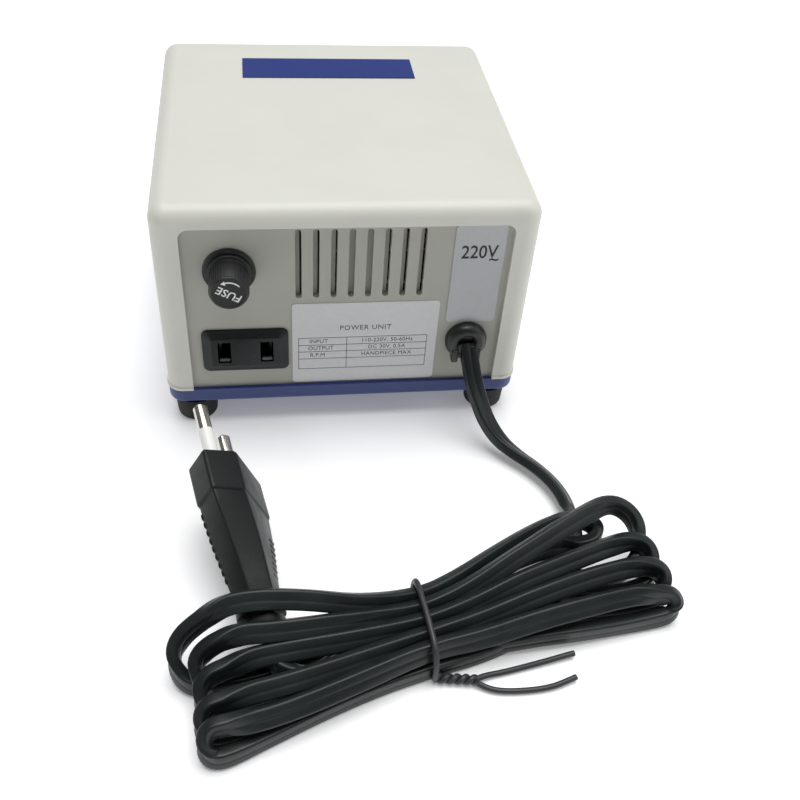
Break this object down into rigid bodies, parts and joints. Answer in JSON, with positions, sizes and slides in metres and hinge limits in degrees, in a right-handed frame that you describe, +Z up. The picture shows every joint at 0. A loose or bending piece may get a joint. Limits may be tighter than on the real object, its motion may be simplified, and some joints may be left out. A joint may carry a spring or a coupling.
{
  "type": "dental lab micromotor",
  "caption": "Box-shaped control unit of a dental lab micromotor with speed knob, rocker switches, foot control outlet, fuse holder and a flat mains cord folded into a tied hank with a two-pin plug.",
  "frame": {"origin": "on the table under the middle of the casing, at the height of the rubber feet's undersides", "axes": "+Z up from the table, -Y the side with the speed knob and switches, +Y the side with the fuse holder, foot control outlet and mains cord, +X the picture's left"},
  "size_m": [0.1413, 0.2409, 0.0787],
  "materials": {
    "blue_base": "satin",
    "cream_plastic": "satin",
    "rear_panel_cream": "satin",
    "blue_label": "gloss",
    "silver_label": "satin",
    "black_plastic": "satin",
    "black_gloss": "gloss",
    "cord_pvc": "semi-gloss",
    "tie_plastic": "satin",
    "rubber": "matt",
    "nickel": "polished",
    "steel": "satin",
    "brass": "satin",
    "aluminium": "satin",
    "glass": "clear",
    "red_lens": "gloss",
    "red_button": "gloss",
    "copper_lacquer": "gloss",
    "core_steel": "matt",
    "bobbin_white": "satin",
    "board_green": "satin",
    "nylon": "satin",
    "capacitor_sleeve": "gloss"
  },
  "bodies": {
    "housing": {"top_cover": "cream_plastic", "base_tray": "blue_base", "rubber_feet": "rubber", "foot_screws": "steel", "rear_panel": "rear_panel_cream", "front_panel": "rear_panel_cream", "name_badge": "blue_label", "rating_plate": "silver_label", "voltage_label": "silver_label", "fuse_holder_body": "black_plastic", "fuse_holder_nut": "black_plastic", "foot_control_outlet": "black_plastic", "outlet_contacts": "brass", "cord_grommet": "black_plastic", "potentiometer_body": "steel", "potentiometer_nut": "nickel", "power_switch_frame": "black_plastic", "direction_switch_frame": "black_plastic", "control_switch_frame": "black_plastic", "handpiece_socket": "nickel", "handpiece_socket_nut": "nickel", "socket_insert": "black_plastic", "socket_contacts": "brass", "breaker_body": "black_plastic", "breaker_nut": "nickel", "power_lamp": "red_lens", "transformer_core": "core_steel", "transformer_bobbin": "bobbin_white", "primary_winding": "copper_lacquer", "secondary_winding": "copper_lacquer", "transformer_bracket": "steel", "transformer_screws": "steel", "circuit_board": "board_green", "board_standoffs": "nylon", "board_screws": "steel", "heat_sink": "aluminium", "power_transistor": "black_plastic", "smoothing_capacitor": "capacitor_sleeve", "relay": "black_gloss", "rectifier_bridge": "black_plastic", "plug_body": "black_plastic", "plug_pins": "nickel", "plug_pin_sleeves": "nylon", "mains_cord_lead": "cord_pvc", "mains_cord_hank": "cord_pvc", "mains_cord_tail": "cord_pvc", "twist_tie": "tie_plastic"},
    "speed_dial": {"speed_knob": "black_plastic", "knob_cap": "aluminium", "potentiometer_shaft": "aluminium"},
    "power_rocker": {"power_switch_rocker": "black_gloss"},
    "direction_rocker": {"direction_switch_rocker": "black_gloss"},
    "control_rocker": {"control_switch_rocker": "black_gloss"},
    "breaker_push": {"breaker_button": "red_button"},
    "fuse_drawer": {"fuse_carrier": "black_plastic", "fuse_glass": "glass", "fuse_end_caps": "nickel"},
    "fuse_bayonet": {"fuse_cap": "black_plastic"}
  },
  "joints": [
    {"name": "speed_dial_turn", "type": "hinge", "parent": "housing", "child": "speed_dial", "pos_m": [-0.014, -0.0537, 0.048], "axis": [0, -1, 0], "range_deg": [-300, 0]},
    {"name": "power_rocker_tilt", "type": "hinge", "parent": "housing", "child": "power_rocker", "pos_m": [0.031, -0.053, 0.0616], "axis": [0, 0, 1], "range_deg": [-18, 0]},
    {"name": "direction_rocker_tilt", "type": "hinge", "parent": "housing", "child": "direction_rocker", "pos_m": [0.031, -0.053, 0.0433], "axis": [0, 0, 1], "range_deg": [0, 18]},
    {"name": "control_rocker_tilt", "type": "hinge", "parent": "housing", "child": "control_rocker", "pos_m": [0.031, -0.053, 0.025], "axis": [0, 0, 1], "range_deg": [-18, 0]},
    {"name": "breaker_push_in", "type": "slide", "parent": "housing", "child": "breaker_push", "axis": [0, 1, 0], "range_m": [0, 0.0025], "stiffness_N_per_m": 400, "springref_m": -0.002},
    {"name": "fuse_drawer_out", "type": "slide", "parent": "housing", "child": "fuse_drawer", "axis": [0, 1, 0], "range_m": [0, 0.026]},
    {"name": "fuse_cap_turn", "type": "hinge", "parent": "fuse_drawer", "child": "fuse_bayonet", "pos_m": [0.034, 0.055, 0.0581], "axis": [0, 1, 0], "range_deg": [0, 90]}
  ]
}
